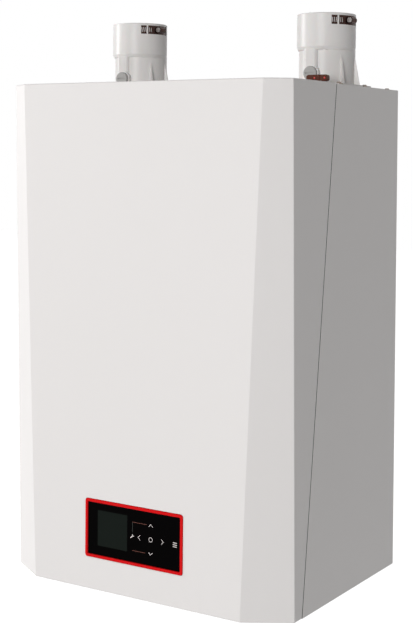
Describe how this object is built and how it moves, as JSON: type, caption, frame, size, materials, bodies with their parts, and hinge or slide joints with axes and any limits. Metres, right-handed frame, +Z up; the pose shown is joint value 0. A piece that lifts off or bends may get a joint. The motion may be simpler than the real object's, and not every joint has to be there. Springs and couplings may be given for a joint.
{
  "type": "combi boiler",
  "caption": "Wall-hung condensing combi boiler: faceted white casing with slide-off cover, flush touch panel, clamped vent adaptors, burner, fan, pump and water tails.",
  "frame": {"origin": "middle of the wall bracket's bolt line, on the wall's face", "axes": "+X to the right as one faces the boiler, -Y out into the room, +Z up; the wall is the plane y = 0"},
  "size_m": [0.523, 0.394, 0.9536],
  "materials": {
    "casing_enamel": "semi-gloss white powder coat",
    "galvanised_sheet": "galvanised",
    "stainless": "stainless, satin",
    "plated_steel": "zinc plated",
    "cast_aluminium": "cast",
    "copper_pipe": "bright copper",
    "brass_body": "hot pressed",
    "red_bezel": "gloss red",
    "black_glass": "gloss black",
    "screen": "dark display",
    "grey_plastic": "moulded grey",
    "dark_plastic": "moulded dark grey",
    "white_plastic": "moulded white",
    "board_green": "circuit board",
    "seal_rubber": "black",
    "fan_housing_grey": "cast, painted",
    "sensor_brown": "moulded dark brown",
    "ceramic_white": "glazed"
  },
  "bodies": {
    "casing": {"left_side_panel": "casing_enamel", "right_side_panel": "casing_enamel", "top_panel": "casing_enamel", "bottom_panel": "casing_enamel", "back_panel": "galvanised_sheet", "wall_bracket": "galvanised_sheet", "hanging_rail": "galvanised_sheet", "casing_screws": "plated_steel", "cover_gasket": "seal_rubber", "display_bezel": "red_bezel", "display_glass": "black_glass", "display_screen": "screen", "control_box": "grey_plastic", "control_board": "board_green", "power_switch_housing": "dark_plastic", "cable_glands": "dark_plastic", "vent_seals": "seal_rubber", "exhaust_adaptor": "white_plastic", "exhaust_clamp": "stainless", "intake_adaptor": "white_plastic", "intake_clamp": "stainless", "flue_sensor": "sensor_brown", "exchanger_shell": "stainless", "exchanger_coil": "stainless", "burner_tube": "stainless", "burner_door": "cast_aluminium", "door_nuts": "plated_steel", "igniter": "ceramic_white", "fan_housing": "fan_housing_grey", "fan_motor": "dark_plastic", "venturi": "cast_aluminium", "air_duct": "grey_plastic", "gas_valve": "cast_aluminium", "gas_pipe": "copper_pipe", "condensate_sump": "dark_plastic", "flue_riser": "white_plastic", "condensate_trap": "grey_plastic", "pump_body": "brass_body", "pump_motor": "fan_housing_grey", "return_pipe": "copper_pipe", "diverter_body": "brass_body", "diverter_motor": "dark_plastic", "supply_pipe": "copper_pipe", "plate_exchanger": "stainless", "plate_pipes": "copper_pipe", "cold_water_pipe": "copper_pipe", "hot_water_pipe": "copper_pipe"},
    "cover": {"front_cover": "casing_enamel"},
    "left_latch": {"left_cover_latch": "dark_plastic"},
    "right_latch": {"right_cover_latch": "dark_plastic"},
    "rocker": {"power_rocker": "dark_plastic"},
    "exhaust_cap": {"exhaust_test_cap": "grey_plastic"},
    "intake_cap": {"intake_test_cap": "grey_plastic"},
    "exhaust_worm": {"exhaust_clamp_screw": "stainless"},
    "intake_worm": {"intake_clamp_screw": "stainless"},
    "blower_rotor": {"fan_rotor": "dark_plastic"},
    "gas_shutter": {"gas_plunger": "stainless"},
    "pump_rotor": {"pump_impeller": "dark_plastic"},
    "diverter": {"diverter_spindle": "stainless"},
    "turbine": {"flow_turbine": "white_plastic"}
  },
  "joints": [
    {"name": "cover_slide", "type": "slide", "parent": "casing", "child": "cover", "axis": [0, -1, 0], "range_m": [0, 0.35]},
    {"name": "left_latch_turn", "type": "hinge", "parent": "casing", "child": "left_latch", "pos_m": [-0.17433, -0.339, -0.71], "axis": [0, 0, 1], "range_deg": [0, 90]},
    {"name": "right_latch_turn", "type": "hinge", "parent": "casing", "child": "right_latch", "pos_m": [0.17433, -0.339, -0.71], "axis": [0, 0, 1], "range_deg": [0, 90]},
    {"name": "power_switch", "type": "hinge", "parent": "casing", "child": "rocker", "pos_m": [-0.16, -0.275, -0.7045], "axis": [1, 0, 0], "range_deg": [0, 16]},
    {"name": "exhaust_cap_pull", "type": "slide", "parent": "casing", "child": "exhaust_cap", "axis": [0, -1, 0], "range_m": [0, 0.025]},
    {"name": "intake_cap_pull", "type": "slide", "parent": "casing", "child": "intake_cap", "axis": [0, -1, 0], "range_m": [0, 0.025]},
    {"name": "exhaust_worm_turn", "type": "hinge", "parent": "casing", "child": "exhaust_worm", "pos_m": [0.23644, -0.12854, 0.1961], "axis": [0.1478, 0.989, 0], "continuous": true},
    {"name": "intake_worm_turn", "type": "hinge", "parent": "casing", "child": "intake_worm", "pos_m": [-0.13556, -0.12854, 0.1961], "axis": [0.1478, 0.989, 0], "continuous": true},
    {"name": "fan_spin", "type": "hinge", "parent": "casing", "child": "blower_rotor", "pos_m": [-0.186, -0.281, -0.188], "axis": [0, -1, 0], "continuous": true},
    {"name": "gas_shutter_lift", "type": "slide", "parent": "casing", "child": "gas_shutter", "axis": [0, 0, 1], "range_m": [0, 0.003], "stiffness_N_per_m": 400},
    {"name": "pump_spin", "type": "hinge", "parent": "casing", "child": "pump_rotor", "pos_m": [-0.16501, -0.16, -0.52], "axis": [0, -1, 0], "continuous": true},
    {"name": "diverter_lift", "type": "slide", "parent": "casing", "child": "diverter", "axis": [0, 0, 1], "range_m": [0, 0.008]},
    {"name": "turbine_spin", "type": "hinge", "parent": "casing", "child": "turbine", "pos_m": [0.14, -0.15, -0.677], "axis": [0, 0, 1], "continuous": true}
  ]
}
